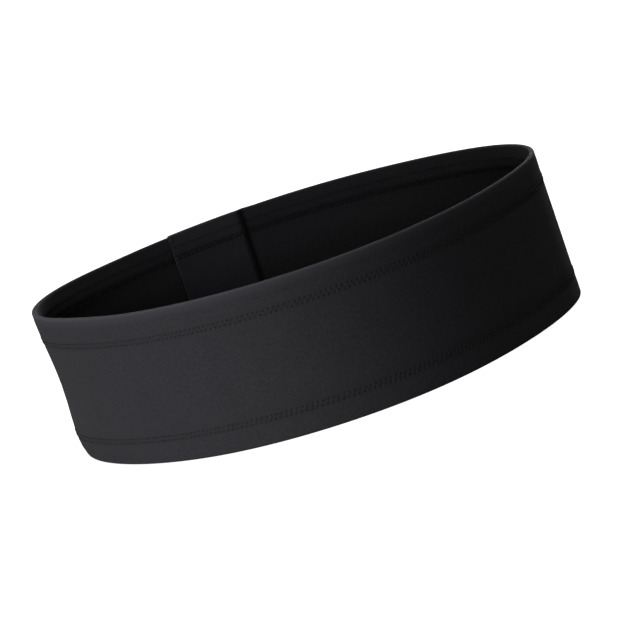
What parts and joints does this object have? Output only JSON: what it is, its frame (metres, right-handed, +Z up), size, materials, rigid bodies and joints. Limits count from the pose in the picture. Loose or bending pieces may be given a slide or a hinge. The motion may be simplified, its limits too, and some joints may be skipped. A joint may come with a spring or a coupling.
{
  "type": "sports headband",
  "caption": "Stretch-knit sports headband, a hemmed strip closed into a ring by a sewn lap at the back.",
  "frame": {"origin": "middle of the footprint, on the plane of the lower edge that the band stands on", "axes": "+Z up through the head opening, -Y towards the forehead, +Y towards the back, where the lap is"},
  "size_m": [0.1666, 0.1839, 0.048],
  "materials": {
    "fabric": "matte charcoal black smooth stretch knit",
    "elastic": "black braided elastic tape",
    "thread": "black spun polyester sewing thread"
  },
  "bodies": {
    "root": {"fabric_band": "fabric", "top_hem_elastic": "elastic", "top_hem_edge_side_needle_thread": "thread", "top_hem_body_side_needle_thread": "thread", "top_hem_looper_thread": "thread", "bottom_hem_elastic": "elastic", "bottom_hem_edge_side_needle_thread": "thread", "bottom_hem_body_side_needle_thread": "thread", "bottom_hem_looper_thread": "thread", "lap_outer_end_seam_needle_thread": "thread", "lap_outer_end_seam_bobbin_thread": "thread", "lap_inner_end_seam_needle_thread": "thread", "lap_inner_end_seam_bobbin_thread": "thread"}
  },
  "joints": []
}
